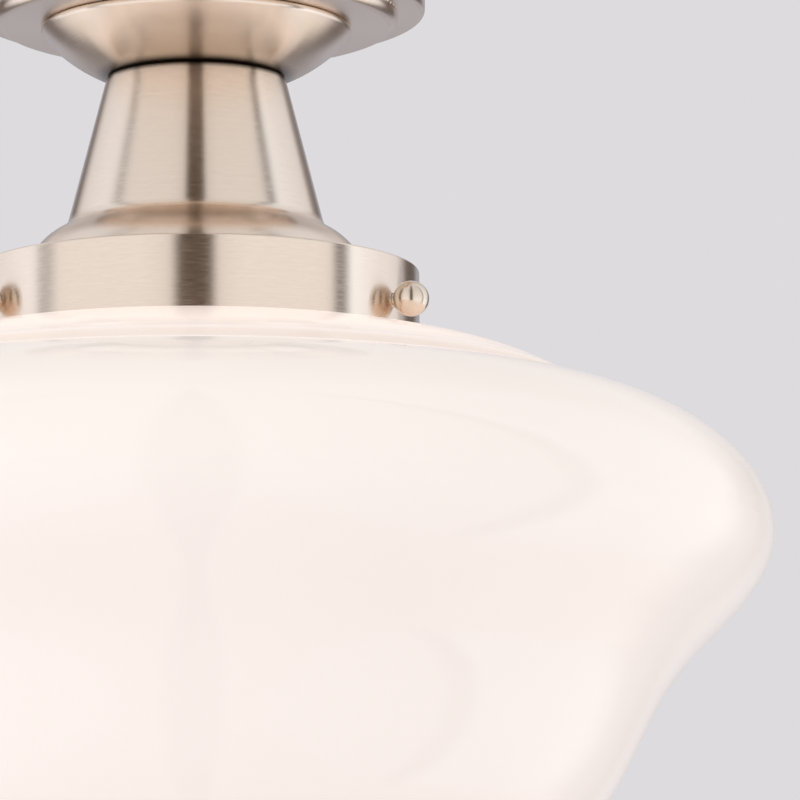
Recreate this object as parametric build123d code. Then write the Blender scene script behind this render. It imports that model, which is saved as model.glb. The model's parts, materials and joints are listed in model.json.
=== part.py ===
"""Semi flush ceiling light with an opal schoolhouse shade.

Millimetres, +Z up. The origin is on the ceiling, at the centre of the canopy's rim, so the
whole light hangs below z = 0. A stepped canopy hides a stamped mounting plate; a rolled cup,
a neck cone with a domed skirt and the shade holder are clamped under it by one threaded
nipple; three ball-headed thumbscrews grip the glass neck under its lip.
"""
from build123d import *
from math import cos, radians, sin, sqrt
import os

os.makedirs("parts", exist_ok=True)

# ---------------------------------------------------------------- driving dimensions
SHEET = 1.0                  # spun steel of the canopy and the cup
HEAVY_SHEET = 1.2            # spun steel of the neck cone and the shade holder

CANOPY_RADIUS = 67.7         # outer tier
CANOPY_TIER_HEIGHT = 16.0
CANOPY_TIER_EDGE = 1.5       # rounding of the outer tier's lower edge
CANOPY_STEP_RADIUS = 59.6    # second tier
CANOPY_STEP_HEIGHT = 4.0
CANOPY_STEP_EDGE = 2.9

CUP_HEIGHT = 15.8
CUP_RIM_RADIUS = 45.9        # outside of the rolled rim
CUP_ROLL = 1.3               # radius of the rolled rim
CUP_BULGE = 46.0             # radius of the bowl's curve

CONE_TOP_RADIUS = 26.5
CONE_HEIGHT = 44.7           # from the cup down to the crease
CONE_CREASE_RADIUS = 38.0
SKIRT_RADIUS = 50.3
SKIRT_HEIGHT = 13.1
SKIRT_BULGE = 20.6           # radius of the skirt's dome
CREASE_BLEND = 2.4           # half length of the soft crease above the skirt

HOLDER_RADIUS = 65.65        # outside of the band round the glass neck
HOLDER_HEIGHT = 21.4
HOLDER_EDGE = 0.6

NIPPLE_RADIUS = 4.85
NIPPLE_BORE = 3.4
NIPPLE_STAND = 8.0           # nipple above the canopy's floor
NUT_FLATS = 14.2             # across the flats of the nipple's nuts
NUT_HEIGHT = 4.0
WASHER_RADIUS = 7.9
WASHER_HEIGHT = 1.0

SCREW_COUNT = 3
SCREW_AZIMUTHS = [-30 + i * 360 / SCREW_COUNT for i in range(SCREW_COUNT)]
SCREW_DROP = 13.6            # thumbscrew axes below the top of the band
SCREW_SHANK_RADIUS = 2.05
SCREW_BALL_RADIUS = 5.2
SCREW_STAND = 5.75           # ball centre outside the band
TIP_RADIUS = 1.7
TIP_HEAD = 0.8               # thickness of the soft tip on the glass
TIP_STEM_RADIUS = 0.9
TIP_STEM = 1.5
BOSS_RADIUS = 4.0
BOSS_LENGTH = 1.8            # boss inside the band

GLASS_WALL = 3.5
GLASS_PLAY = 2.95            # between the glass lip and the band round it
LIP_OUT = 0.9                # lip beyond the neck
TIER_START_OUT = 4.0         # first tier's start beyond the neck
GLASS_LIP_DROP = 3.2         # lip's top below the top of the band
GLASS_LIP_HEIGHT = 3.4
GLASS_GAP = 0.45             # between the band's lower edge and the glass below it
# Outline of the shade: radius, and drop below the top of its first tier.
TIER_RADIUS = 108.5
TIER_DROP = 10.6
STEP_OUT = 3.0               # from the first tier's edge out to its rounded corner
STEP_DOWN = 1.7
CREASE_OUT = 5.7             # from the first tier's edge out to the crease
CREASE_DOWN = 5.5
SHOULDER_RADIUS = 118.0
SHOULDER_DROP = 16.2
BELLY_RADIUS = 168.65
BELLY_DROP = 56.4
FLANK_RADIUS = 151.3
FLANK_DROP = 85.4
WAIST_RADIUS = 125.5
WAIST_DROP = 124.45
BOWL_DROP = 182.0

PLATE = 1.6                  # stamped mounting plate
PLATE_BAR_LENGTH = 108.0     # bar with the slots, along X
PLATE_BAR_WIDTH = 21.0
PLATE_ARM_WIDTH = 17.0       # arm along Y, bent down into a tab at each end
PLATE_BEND = 0.8             # inside radius of the bends
TAB_HEIGHT = 12.5            # tabs' lower ends below the ceiling
TAB_CLEAR = 0.5              # tabs' corners inside the canopy's wall
SLOT_CENTRE = 39.7
SLOT_LENGTH = 15.6
SLOT_WIDTH = 4.8
CANOPY_SCREW_DROP = 7.5      # side screws' axes below the ceiling
CANOPY_SCREW_RADIUS = 2.05
CANOPY_SCREW_LENGTH = 7.0
CANOPY_SCREW_HOLE = 2.35     # free hole in the canopy's wall
CANOPY_HEAD_RADIUS = 3.6
CANOPY_HEAD_HEIGHT = 2.2
GROUND_SCREW_PLACE = 21.0
GROUND_SCREW_RADIUS = 2.05
GROUND_HEAD_RADIUS = 4.4
GROUND_HEAD_HEIGHT = 2.6

BRACKET = 1.5                # strap steel of the lamp-holder bracket
BRACKET_WIDTH = 14.0
BRACKET_HALF_SPAN = 16.5
BRACKET_HEIGHT = 12.7        # from the holder's ceiling to the top of the porcelain
BRACKET_FOOT = 9.0
BRACKET_SCREW_PLACE = 11.7
BRACKET_SCREW_RADIUS = 1.6
BRACKET_SCREW_LENGTH = 7.0
BRACKET_HEAD_RADIUS = 2.7
BRACKET_HEAD_HEIGHT = 1.8

PORCELAIN_CAP_RADIUS = 19.5
PORCELAIN_CAP_HEIGHT = 10.0
PORCELAIN_RADIUS = 17.6
PORCELAIN_HEIGHT = 37.0
PORCELAIN_ROOF = 7.0         # solid porcelain above the screw shell
SHELL_RADIUS = 14.0          # outside of the brass screw shell
SHELL_WALL = 0.6
CONTACT_WIDTH = 6.0
CONTACT_STRIP = 0.5
CONTACT_DROP = 2.0

BULB_PLAY = 0.3              # bulb's base inside the screw shell
BULB_SHOULDER = 3.0          # sloping end of the base
BULB_BASE_CAP = 3.5          # end of the base down to its hollow
BULB_BASE_HEIGHT = 24.0
BULB_CONTACT_HEIGHT = 3.5
BULB_RADIUS = 30.0
BULB_GLASS_HEIGHT = 80.0
BULB_GLASS_WALL = 1.0

LEAD_RADIUS = 1.1
LEAD_PITCH = 1.45            # leads off the axis inside the nipple
LEAD_SOCKET = 3.0            # depth of the lead holes in the porcelain
LEAD_BEND = 4.5
LEAD_CLEAR = 3.4             # leads' level below the mounting plate
CONNECTOR_RADIUS = 4.6
CONNECTOR_TIP_RADIUS = 3.4
CONNECTOR_LENGTH = 19.0
CONNECTOR_END = 4.8          # closed end beyond the lead's bore
CONNECTOR_COLLAR = 3.2       # plain stretch at the mouth
CONNECTOR_GROOVES = 10
GROOVE_RADIUS = 0.9
GROOVE_DEPTH = 0.45
CONNECTOR_PLACE = 34.0       # mouths of the lamp holder's connectors off the axis
GROUND_CONNECTOR_PLACE = 40.0
MOUTH_RUN = 9.0              # straight lead before a connector's mouth
GROUND_MOUTH_RUN = 8.0
GROUND_RUN = 9.0             # ground lead from its screw to its first bend
GROUND_FALL = 0.6
MOUTH_BEND = 4.0             # bend radius near the mouths
# Each connector's mouth: azimuth, distance from the axis, and the way it points.
CONNECTORS = [(52, CONNECTOR_PLACE, 142), (-128, CONNECTOR_PLACE, -38),
              (-20, GROUND_CONNECTOR_PLACE, -110)]

FIT = 0.05                  # running clearance on a radius
CLEAR = 0.1                  # clearance between pieces that only stand close

# ---------------------------------------------------------------- levels below the ceiling
CANOPY_STEP_Z = -CANOPY_TIER_HEIGHT
CANOPY_FLOOR_Z = CANOPY_STEP_Z - CANOPY_STEP_HEIGHT
CUP_BOTTOM_Z = CANOPY_FLOOR_Z - CUP_HEIGHT
CREASE_Z = CUP_BOTTOM_Z - CONE_HEIGHT
HOLDER_TOP_Z = CREASE_Z - SKIRT_HEIGHT
HOLDER_ROOF_Z = HOLDER_TOP_Z - HEAVY_SHEET
HOLDER_BOTTOM_Z = HOLDER_TOP_Z - HOLDER_HEIGHT
SCREW_Z = HOLDER_TOP_Z - SCREW_DROP
GLASS_TIER_Z = HOLDER_BOTTOM_Z - GLASS_GAP
GLASS_LIP_Z = HOLDER_TOP_Z - GLASS_LIP_DROP
PORCELAIN_TOP_Z = HOLDER_ROOF_Z - BRACKET_HEIGHT
PORCELAIN_BOTTOM_Z = PORCELAIN_TOP_Z - PORCELAIN_HEIGHT
SHELL_TOP_Z = PORCELAIN_TOP_Z - PORCELAIN_ROOF
BULB_TOP_Z = SHELL_TOP_Z - CONTACT_DROP - CLEAR
BULB_BASE_Z = BULB_TOP_Z - BULB_CONTACT_HEIGHT
BULB_GLASS_Z = BULB_BASE_Z - BULB_BASE_HEIGHT
LEAD_LEVEL_Z = -PLATE - LEAD_CLEAR
CONNECTOR_Z = CANOPY_FLOOR_Z + SHEET + CONNECTOR_RADIUS + CLEAR

BULB_BASE_RADIUS = SHELL_RADIUS - SHELL_WALL - BULB_PLAY
HOLDER_INSIDE = HOLDER_RADIUS - HEAVY_SHEET
GLASS_LIP_RADIUS = HOLDER_INSIDE - GLASS_PLAY
GLASS_NECK_RADIUS = GLASS_LIP_RADIUS - LIP_OUT
TIER_START_RADIUS = GLASS_NECK_RADIUS + TIER_START_OUT
STACK_HOLE = NIPPLE_RADIUS + FIT
TIP_FACE = GLASS_NECK_RADIUS + CLEAR
TAB_FACE = sqrt((CANOPY_RADIUS - SHEET - TAB_CLEAR) ** 2 - (PLATE_ARM_WIDTH / 2) ** 2)


# ---------------------------------------------------------------- outlines to turn
def point(radius, height):
    """A point of an outline: radius along X, height along Z."""
    return Vector(radius, 0, height)


def rounded(*corners):
    """Edges of an open outline; a corner may carry a third value, its rounding radius."""
    places = [point(c[0], c[1]) for c in corners]
    edges = []
    start = places[0]
    for i in range(1, len(places) - 1):
        radius = corners[i][2] if len(corners[i]) > 2 else 0
        if radius == 0:
            edges.append(Line(start, places[i]))
            start = places[i]
            continue
        back = (places[i - 1] - places[i]).normalized()
        ahead = (places[i + 1] - places[i]).normalized()
        half = radians(back.get_angle(ahead)) / 2
        reach = radius * cos(half) / sin(half)
        middle = (back + ahead).normalized() * (radius / sin(half) - radius)
        first = places[i] + back * reach
        last = places[i] + ahead * reach
        if (first - start).length > 1e-6:
            edges.append(Line(start, first))
        edges.append(ThreePointArc(first, places[i] + middle, last))
        start = last
    edges.append(Line(start, places[-1]))
    return edges


def smooth(start, leaving, end, arriving, share_start, share_end):
    """A curve whose handles are shares of the chord, along the two directions given."""
    chord = (end - start).length
    first = start + leaving.normalized() * chord * share_start
    last = end - arriving.normalized() * chord * share_end
    return Bezier(start, first, last, end)


def bulge(start, end, radius):
    """Arc of the given radius from start down to end, bulging outwards; and its centre."""
    along = end - start
    inward = Vector(along.Z, 0, -along.X).normalized()
    centre = (start + end) * 0.5 + inward * sqrt(radius ** 2 - along.length ** 2 / 4)
    top = centre + ((start + end) * 0.5 - centre).normalized() * radius
    return ThreePointArc(start, top, end), centre


def turned(edges):
    """Solid of revolution about Z of the closed outline made by the edges."""
    return revolve(Face(Wire(edges)), Axis.Z)


def tube(radius, bore, top, bottom):
    """Plain ring between two heights."""
    return turned(rounded((bore, top), (radius, top), (radius, bottom), (bore, bottom), (bore, top)))


def hex_nut(flats, bore, top, height):
    """Hexagon nut on the Z axis with its face corners turned off."""
    prism = extrude(RegularPolygon(flats / 2, 6, major_radius=False), -height)
    corner = flats / 2 / cos(radians(30))
    turn_off = turned(rounded((0, 0), (flats / 2, 0), (corner, -height * 0.16), (corner, -height * 0.84),
                              (flats / 2, -height), (0, -height), (0, 0)))
    nut = (prism & turn_off) - Pos(0, 0, -height / 2) * Cylinder(bore, height * 2)
    return Pos(0, 0, top) * nut


def pan_screw(head_radius, head_height, radius, length):
    """Screw with a domed head: head above z = 0, shank below it."""
    dome = head_height * 0.7
    head = turned(rounded((0, head_height), (head_radius, head_height, dome), (head_radius, 0),
                          (radius, 0), (radius, -length, radius * 0.2), (0, -length), (0, head_height)))
    slot = Pos(0, 0, head_height) * Box(head_radius * 1.5, head_height * 0.3, head_height * 0.9)
    cross = Rot(0, 0, 90) * slot
    return head - slot - cross


def save(shape, node):
    """Write one node's STEP file."""
    export_step(shape, f"parts/{node}.step")


# ---------------------------------------------------------------- canopy and its mounting
def at_canopy_side(piece, distance, side):
    """Lay a piece that stands on Z outwards at a side screw's axis, at this distance out."""
    return Rot(0, 0, side) * Pos(distance, 0, -CANOPY_SCREW_DROP) * Rot(0, 90, 0) * piece


def make_canopy():
    """Two-tier spun pan, open at the ceiling, with holes for the nipple and the side screws."""
    step_inner = 0.6
    pan = turned(rounded(
        (CANOPY_RADIUS, 0),
        (CANOPY_RADIUS, CANOPY_STEP_Z, CANOPY_TIER_EDGE),
        (CANOPY_STEP_RADIUS, CANOPY_STEP_Z, step_inner),
        (CANOPY_STEP_RADIUS, CANOPY_FLOOR_Z, CANOPY_STEP_EDGE),
        (STACK_HOLE, CANOPY_FLOOR_Z),
        (STACK_HOLE, CANOPY_FLOOR_Z + SHEET),
        (CANOPY_STEP_RADIUS - SHEET, CANOPY_FLOOR_Z + SHEET, CANOPY_STEP_EDGE - SHEET),
        (CANOPY_STEP_RADIUS - SHEET, CANOPY_STEP_Z + SHEET, step_inner + SHEET),
        (CANOPY_RADIUS - SHEET, CANOPY_STEP_Z + SHEET, CANOPY_TIER_EDGE - SHEET),
        (CANOPY_RADIUS - SHEET, 0),
        (CANOPY_RADIUS, 0)))
    for side in (90, -90):
        pan -= at_canopy_side(Cylinder(CANOPY_SCREW_HOLE, SHEET * 4), CANOPY_RADIUS, side)
    return pan


def make_mounting_plate():
    """Stamped cross: a slotted bar along X, and an arm along Y bent down into two tabs."""
    bar = Pos(0, 0, -PLATE / 2) * Box(PLATE_BAR_LENGTH, PLATE_BAR_WIDTH, PLATE)
    bar = fillet(bar.edges().filter_by(Axis.Z), PLATE_BAR_WIDTH * 0.3)
    inner_face = TAB_FACE - PLATE
    section = Polyline((0, 0), (TAB_FACE, 0), (TAB_FACE, -TAB_HEIGHT), (inner_face, -TAB_HEIGHT),
                       (inner_face, -PLATE), (0, -PLATE), close=True)
    arm = extrude(Plane.XZ * make_face(section), PLATE_ARM_WIDTH / 2, both=True)

    def bend_edge(distance, height):
        """The arm's edge across this place of its section."""
        return arm.edges().filter_by(Axis.Y).filter_by(
            lambda e: abs(e.center().X - distance) < 0.01 and abs(e.center().Z - height) < 0.01)

    arm = fillet(bend_edge(TAB_FACE, 0), PLATE + PLATE_BEND)
    arm = fillet(bend_edge(inner_face, -PLATE), PLATE_BEND)
    ends = arm.edges().filter_by(Axis.X).filter_by(lambda e: abs(e.center().Z + TAB_HEIGHT) < 0.01)
    arm = fillet(ends, PLATE_ARM_WIDTH * 0.25)
    plate = bar + Rot(0, 0, 90) * arm + Rot(0, 0, -90) * arm
    # The centre hole that such plates have, the size of the nipple's thread.
    plate -= Cylinder(STACK_HOLE, PLATE * 4)
    for side in (90, -90):
        plate -= at_canopy_side(Cylinder(CANOPY_SCREW_RADIUS + FIT / 2, PLATE * 4), TAB_FACE, side)
    for side in (-1, 1):
        slot = SlotOverall(SLOT_LENGTH, SLOT_WIDTH)
        plate -= Pos(side * SLOT_CENTRE, 0, -PLATE * 2) * extrude(slot, PLATE * 4)
    plate -= Pos(GROUND_SCREW_PLACE, 0, 0) * Cylinder(GROUND_SCREW_RADIUS + FIT / 2, PLATE * 4)
    return plate


def make_canopy_screws():
    """Two screws through the canopy's wall into the plate's tabs, as one group."""
    screw = pan_screw(CANOPY_HEAD_RADIUS, CANOPY_HEAD_HEIGHT, CANOPY_SCREW_RADIUS, CANOPY_SCREW_LENGTH)
    return Compound(children=[at_canopy_side(screw, CANOPY_RADIUS + FIT, side) for side in (90, -90)])


# ---------------------------------------------------------------- the clamped stack
def make_cup():
    """Spun bowl with a rolled rim that bears on the canopy's floor."""
    roll_radius = CUP_RIM_RADIUS - CUP_ROLL
    roll_z = CANOPY_FLOOR_Z - CUP_ROLL
    foot = point(CONE_TOP_RADIUS - 0.4, CUP_BOTTOM_Z + 0.5)
    brim = point(roll_radius + CUP_ROLL * 0.75, roll_z - CUP_ROLL * 0.66)
    bowl, centre = bulge(brim, foot, CUP_BULGE)
    shrink = (CUP_BULGE - SHEET) / CUP_BULGE
    brim_in = centre + (brim - centre) * shrink
    foot_in = centre + (foot - centre) * shrink
    mid_in = centre + (bowl @ 0.5 - centre) * shrink
    roll_top = point(roll_radius, CANOPY_FLOOR_Z)
    roll_side = point(CUP_RIM_RADIUS, roll_z)
    bottom = point(foot.X - 0.6, CUP_BOTTOM_Z)
    cup = turned([
        ThreePointArc(roll_top, roll_side, brim),
        bowl,
        Line(foot, bottom),
        Line(bottom, point(STACK_HOLE, CUP_BOTTOM_Z)),
        Line(point(STACK_HOLE, CUP_BOTTOM_Z), point(STACK_HOLE, CUP_BOTTOM_Z + SHEET)),
        Line(point(STACK_HOLE, CUP_BOTTOM_Z + SHEET), point(foot_in.X - SHEET, CUP_BOTTOM_Z + SHEET)),
        Line(point(foot_in.X - SHEET, CUP_BOTTOM_Z + SHEET), foot_in),
        ThreePointArc(foot_in, mid_in, brim_in),
        Line(brim_in, roll_top)])
    return cup


def make_neck_cone():
    """Straight cone that turns through a soft crease into a domed skirt, one spun shell."""
    top = point(CONE_TOP_RADIUS, CUP_BOTTOM_Z)
    crease = point(CONE_CREASE_RADIUS, CREASE_Z)
    base = point(SKIRT_RADIUS, HOLDER_TOP_Z)
    slope = (crease - top).normalized()
    skirt, centre = bulge(crease, base, SKIRT_BULGE)
    share = CREASE_BLEND / skirt.length

    def shell(offset):
        """Edges of the wall at this distance inside the outer face, from top to base."""
        aside = Vector(slope.Z, 0, -slope.X) * offset
        dome_radius = SKIRT_BULGE - offset
        blend_start = crease - slope * CREASE_BLEND + aside
        blend_end, skirt_mid = [centre + (skirt @ s - centre) * (dome_radius / SKIRT_BULGE)
                                for s in (share, (1 + share) / 2)]
        reach = sqrt(dome_radius ** 2 - (HOLDER_TOP_Z - centre.Z) ** 2)
        skirt_end = point(centre.X + reach, HOLDER_TOP_Z)
        side_top = point(top.X - offset, CUP_BOTTOM_Z - offset)
        return [Line(side_top, blend_start),
                smooth(blend_start, slope, blend_end, skirt % share, 0.4, 0.4),
                ThreePointArc(blend_end, skirt_mid, skirt_end)]

    outer = shell(0.0)
    inner = shell(HEAVY_SHEET)
    hole_top = point(STACK_HOLE, CUP_BOTTOM_Z)
    hole_bottom = point(STACK_HOLE, CUP_BOTTOM_Z - HEAVY_SHEET)
    return turned([Line(hole_top, outer[0] @ 0), *outer, Line(outer[2] @ 1, inner[2] @ 1), *inner,
                   Line(inner[0] @ 0, hole_bottom), Line(hole_bottom, hole_top)])


def make_shade_holder():
    """Pan whose band goes round the glass neck, with three radial screw holes."""
    pan = turned(rounded(
        (STACK_HOLE, HOLDER_TOP_Z),
        (HOLDER_RADIUS, HOLDER_TOP_Z, HOLDER_EDGE),
        (HOLDER_RADIUS, HOLDER_BOTTOM_Z, 0.3),
        (HOLDER_INSIDE, HOLDER_BOTTOM_Z, 0.3),
        (HOLDER_INSIDE, HOLDER_ROOF_Z, HOLDER_EDGE),
        (STACK_HOLE, HOLDER_ROOF_Z),
        (STACK_HOLE, HOLDER_TOP_Z)))
    hole = radial(Cylinder(SCREW_SHANK_RADIUS + FIT, HEAVY_SHEET * 6), HOLDER_RADIUS)
    for azimuth in SCREW_AZIMUTHS:
        pan -= Rot(0, 0, azimuth) * hole
    return pan


# ---------------------------------------------------------------- thumbscrews
def radial(piece, radius):
    """Lay a piece that stands on Z along +X, its origin at this radius, at screw height."""
    return Pos(radius, 0, SCREW_Z) * Rot(0, 90, 0) * piece


def make_boss():
    """Tapped boss inside the band, fitted to its curve."""
    blank = Pos(0, 0, HEAVY_SHEET / 2) * Cylinder(BOSS_RADIUS, BOSS_LENGTH + HEAVY_SHEET)
    blank -= Cylinder(SCREW_SHANK_RADIUS + FIT, (BOSS_LENGTH + HEAVY_SHEET) * 3)
    inside = Pos(0, 0, SCREW_Z) * Cylinder(HOLDER_INSIDE, BOSS_RADIUS * 3)
    return radial(blank, HOLDER_INSIDE - BOSS_LENGTH / 2) & inside


def make_tip():
    """Soft tip: a thin head on the glass, and a stem in the end of the screw."""
    return radial(turned(rounded(
        (0, 0), (TIP_RADIUS, 0, 0.3), (TIP_RADIUS, TIP_HEAD), (TIP_STEM_RADIUS, TIP_HEAD),
        (TIP_STEM_RADIUS, TIP_HEAD + TIP_STEM), (0, TIP_HEAD + TIP_STEM), (0, 0))), TIP_FACE)


def make_thumbscrew():
    """Shank with a ball head, bored for the stem of its tip."""
    start = TIP_FACE + TIP_HEAD + FIT
    ball = HOLDER_RADIUS + SCREW_STAND
    depth = TIP_STEM + CLEAR
    neck = ball - sqrt(SCREW_BALL_RADIUS ** 2 - SCREW_SHANK_RADIUS ** 2)
    bore = TIP_STEM_RADIUS + FIT
    profile = [
        Line(point(0, depth), point(bore, depth)),
        Line(point(bore, depth), point(bore, 0)),
        Line(point(bore, 0), point(SCREW_SHANK_RADIUS - 0.3, 0)),
        Line(point(SCREW_SHANK_RADIUS - 0.3, 0), point(SCREW_SHANK_RADIUS, 0.3)),
        Line(point(SCREW_SHANK_RADIUS, 0.3), point(SCREW_SHANK_RADIUS, neck - start)),
        ThreePointArc(point(SCREW_SHANK_RADIUS, neck - start), point(SCREW_BALL_RADIUS, ball - start),
                      point(0, ball - start + SCREW_BALL_RADIUS)),
        Line(point(0, ball - start + SCREW_BALL_RADIUS), point(0, depth))]
    return radial(turned(profile), start)


# ---------------------------------------------------------------- glass shade
def make_shade():
    """Opal glass: lipped neck, low first tier, wide shoulder, S-curve and closed bowl."""
    def place(radius, drop):
        return point(radius, GLASS_TIER_Z - drop)

    tier_start = place(TIER_START_RADIUS, 0)
    tier_end = place(TIER_RADIUS, TIER_DROP)
    shoulder = place(SHOULDER_RADIUS, SHOULDER_DROP)
    belly = place(BELLY_RADIUS, BELLY_DROP)
    flank = place(FLANK_RADIUS, FLANK_DROP)
    waist = place(WAIST_RADIUS, WAIST_DROP)
    bowl = place(0, BOWL_DROP)
    # Directions of the outline at those places, and the handle shares of each stretch.
    out, tier_fall, shoulder_fall = Vector(1, 0, 0), Vector(1, 0, -0.5), Vector(1, 0, -0.11)
    down, flank_fall, waist_fall, inward = (Vector(0, 0, -1), Vector(-1, 0, -0.98),
                                            Vector(-1, 0, -2), Vector(-1, 0, 0))
    stretches = [
        (tier_start, out, tier_end, tier_fall, 0.23, 0.37),
        (shoulder, shoulder_fall, belly, down, 0.33, 0.35),
        (belly, down, flank, flank_fall, 0.32, 0.38),
        (flank, flank_fall, waist, waist_fall, 0.46, 0.42),
        (waist, waist_fall, bowl, inward, 0.33, 0.43)]

    def inside(place_on_outline, direction):
        """The inner face's point opposite one on the outline."""
        return place_on_outline + Vector(direction.Z, 0, -direction.X).normalized() * GLASS_WALL

    outer = [smooth(*s) for s in stretches]
    inner = [smooth(inside(a, u), u, inside(b, v), v, p, q) for a, u, b, v, p, q in stretches]
    corner = (TIER_RADIUS + STEP_OUT, tier_end.Z - STEP_DOWN, 2.6)
    crease = (TIER_RADIUS + CREASE_OUT, tier_end.Z - CREASE_DOWN, 1.8)
    step = rounded((tier_end.X, tier_end.Z), corner, crease, (shoulder.X, shoulder.Z))
    step_in = smooth(inner[0] @ 1, tier_fall, inner[1] @ 0, shoulder_fall, 0.35, 0.35)
    neck_in = GLASS_NECK_RADIUS - GLASS_WALL
    fall = TIER_START_RADIUS - GLASS_NECK_RADIUS
    lip_bottom = GLASS_LIP_Z - GLASS_LIP_HEIGHT
    inner_start = inner[0] @ 0
    inner_fall = inner_start.X - neck_in
    neck = rounded(
        (neck_in, inner_start.Z + inner_fall),
        (neck_in, GLASS_LIP_Z, 1.2),
        (GLASS_LIP_RADIUS, GLASS_LIP_Z, 1.2),
        (GLASS_LIP_RADIUS, lip_bottom, 0.4),
        (GLASS_NECK_RADIUS, lip_bottom - 0.5, 0.4),
        (GLASS_NECK_RADIUS, GLASS_TIER_Z + fall))
    foot = smooth(point(GLASS_NECK_RADIUS, GLASS_TIER_Z + fall), down, tier_start, out, 0.39, 0.39)
    foot_in = smooth(inner_start, inward, point(neck_in, inner_start.Z + inner_fall), Vector(0, 0, 1),
                     0.39, 0.39)
    return turned(neck + [foot, outer[0]] + step + outer[1:] + [Line(outer[-1] @ 1, inner[-1] @ 1)]
                  + inner[1:] + [step_in, inner[0], foot_in])


# ---------------------------------------------------------------- lamp holder and bulb
def make_bracket():
    """Strap bent into a U with turned-in feet, clamped under the shade holder's roof."""
    half = BRACKET_HALF_SPAN
    foot_z = PORCELAIN_TOP_Z
    inner_foot = half - BRACKET_FOOT
    outline = Polyline(
        (inner_foot, foot_z), (half, foot_z), (half, HOLDER_ROOF_Z), (-half, HOLDER_ROOF_Z),
        (-half, foot_z), (-inner_foot, foot_z), (-inner_foot, foot_z + BRACKET),
        (-half + BRACKET, foot_z + BRACKET), (-half + BRACKET, HOLDER_ROOF_Z - BRACKET),
        (half - BRACKET, HOLDER_ROOF_Z - BRACKET), (half - BRACKET, foot_z + BRACKET),
        (inner_foot, foot_z + BRACKET), close=True)
    strap = extrude(Plane.XZ * make_face(outline), BRACKET_WIDTH / 2, both=True)
    outside = strap.edges().filter_by(Axis.Y).filter_by(lambda e: abs(abs(e.center().X) - half) < 0.01)
    strap = fillet(outside, BRACKET * 1.2)
    strap -= Pos(0, 0, HOLDER_ROOF_Z) * Cylinder(STACK_HOLE, BRACKET * 4)
    screw_hole = Cylinder(BRACKET_SCREW_RADIUS + FIT, BRACKET * 4)
    for side in (-1, 1):
        strap -= Pos(side * BRACKET_SCREW_PLACE, 0, foot_z) * screw_hole
    return strap


def make_porcelain():
    """Glazed body of the lamp holder: cap, barrel, bore for the shell and lead holes."""
    bore = SHELL_RADIUS + FIT
    body = turned(rounded(
        (0, PORCELAIN_TOP_Z),
        (PORCELAIN_CAP_RADIUS, PORCELAIN_TOP_Z, 1.6),
        (PORCELAIN_CAP_RADIUS, PORCELAIN_TOP_Z - PORCELAIN_CAP_HEIGHT, 1.0),
        (PORCELAIN_RADIUS, PORCELAIN_TOP_Z - PORCELAIN_CAP_HEIGHT - 1.5, 1.0),
        (PORCELAIN_RADIUS, PORCELAIN_BOTTOM_Z, 1.2),
        (bore, PORCELAIN_BOTTOM_Z, 0.8),
        (bore, SHELL_TOP_Z),
        (0, SHELL_TOP_Z), (0, PORCELAIN_TOP_Z)))
    screw_depth = BRACKET_SCREW_LENGTH - BRACKET + 0.5
    screw_hole = Cylinder(BRACKET_SCREW_RADIUS + FIT / 2, screw_depth * 2)
    lead_hole = Cylinder(LEAD_RADIUS + FIT / 5, LEAD_SOCKET * 2)
    for side in (-1, 1):
        body -= Pos(0, side * LEAD_PITCH, PORCELAIN_TOP_Z) * lead_hole
        body -= Pos(side * BRACKET_SCREW_PLACE, 0, PORCELAIN_TOP_Z) * screw_hole
    return body


def make_screw_shell():
    """Thin brass shell that the bulb screws into, closed by a floor with a window."""
    window = SHELL_RADIUS * 0.5
    return turned(rounded(
        (window, SHELL_TOP_Z), (SHELL_RADIUS, SHELL_TOP_Z),
        (SHELL_RADIUS, PORCELAIN_BOTTOM_Z + 2.0), (SHELL_RADIUS - SHELL_WALL, PORCELAIN_BOTTOM_Z + 2.0),
        (SHELL_RADIUS - SHELL_WALL, SHELL_TOP_Z - SHELL_WALL), (window, SHELL_TOP_Z - SHELL_WALL),
        (window, SHELL_TOP_Z)))


def make_centre_contact():
    """Springy brass strip folded back on itself, in the window of the shell."""
    length = SHELL_RADIUS * 0.8
    leaf = CONTACT_STRIP
    outline = Polyline(
        (-length / 2, 0), (length / 2, 0), (length / 2, -CONTACT_DROP), (-length * 0.25, -CONTACT_DROP),
        (-length * 0.25, -CONTACT_DROP + leaf), (length / 2 - leaf, -CONTACT_DROP + leaf),
        (length / 2 - leaf, -leaf), (-length / 2, -leaf), close=True)
    return Pos(0, 0, SHELL_TOP_Z) * extrude(Plane.XZ * make_face(outline), CONTACT_WIDTH / 2, both=True)


def make_bulb_contact():
    """Dark glass insulator with the solder button at its top."""
    button = 3.0
    return turned(rounded(
        (0, BULB_TOP_Z), (button, BULB_TOP_Z, 0.8), (button + 0.6, BULB_TOP_Z - 1.0),
        (BULB_BASE_RADIUS * 0.68, BULB_BASE_Z), (0, BULB_BASE_Z), (0, BULB_TOP_Z)))


def make_bulb_base():
    """Metal screw base: an eyelet-topped cup round the end of the glass."""
    wall = 0.5
    hollow_z = BULB_BASE_Z - BULB_BASE_CAP
    return turned(rounded(
        (0, BULB_BASE_Z), (BULB_BASE_RADIUS * 0.7, BULB_BASE_Z),
        (BULB_BASE_RADIUS, BULB_BASE_Z - BULB_SHOULDER, 1.0),
        (BULB_BASE_RADIUS, BULB_GLASS_Z), (BULB_BASE_RADIUS - wall, BULB_GLASS_Z),
        (BULB_BASE_RADIUS - wall, hollow_z), (0, hollow_z), (0, BULB_BASE_Z)))


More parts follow.
